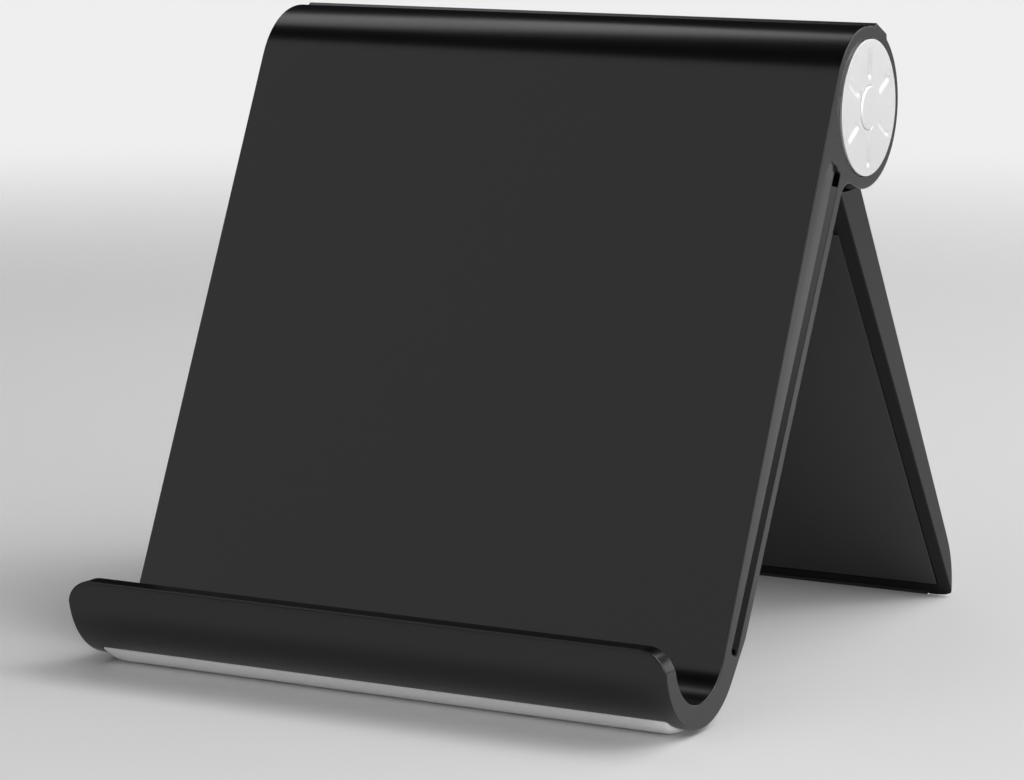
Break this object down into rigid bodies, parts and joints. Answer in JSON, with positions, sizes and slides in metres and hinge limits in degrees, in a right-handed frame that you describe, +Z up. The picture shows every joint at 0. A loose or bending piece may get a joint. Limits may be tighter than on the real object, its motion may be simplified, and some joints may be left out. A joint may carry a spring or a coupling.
{
  "type": "tablet stand",
  "caption": "Folding tablet stand: a tilted panel with a curled tray along its foot and a wide rear leg on a friction hinge with round end discs.",
  "frame": {"origin": "on the table, halfway across the stand and midway between the front of its tray and the back of its leg", "axes": "+X along the hinge, +Y towards the leg, +Z up"},
  "size_m": [0.1216, 0.1386, 0.1168],
  "materials": {
    "shell": "satin black with a soft gloss and a fine texture",
    "leg_shell": "satin black, a little duller than the shell",
    "cover": "matt, duller than the shell",
    "dark_plastic": "plain moulded",
    "silver": "fine bead-blasted",
    "pale_silicone": "soft matt",
    "dark_rubber": "soft matt",
    "steel": "plain zinc-plated",
    "bearing_plastic": "natural",
    "friction_disc": "fibre-filled"
  },
  "bodies": {
    "cradle": {"front_panel": "shell", "tray_foot": "pale_silicone", "hinge_shaft": "steel", "key_plate_right": "steel", "key_plate_left": "steel", "disc_springs_right": "steel", "disc_springs_left": "steel", "flat_washer_right": "steel", "flat_washer_left": "steel", "lock_nut_right": "steel", "lock_nut_left": "steel", "cap_carrier_right": "dark_plastic", "cap_carrier_left": "dark_plastic", "cap_disc_right": "silver", "cap_disc_left": "silver", "cap_button_right": "silver", "cap_button_left": "silver"},
    "leg": {"leg_frame": "leg_shell", "leg_cover": "cover", "leg_stiffener": "steel", "leg_foot": "dark_rubber", "hinge_bush_right": "bearing_plastic", "hinge_bush_left": "bearing_plastic", "friction_washer_right": "friction_disc", "friction_washer_left": "friction_disc"}
  },
  "joints": [
    {"name": "leg_hinge", "type": "hinge", "parent": "cradle", "child": "leg", "pos_m": [0, 0.01204, 0.10166], "axis": [1, 0, 0], "range_deg": [-60.1, 90]}
  ]
}
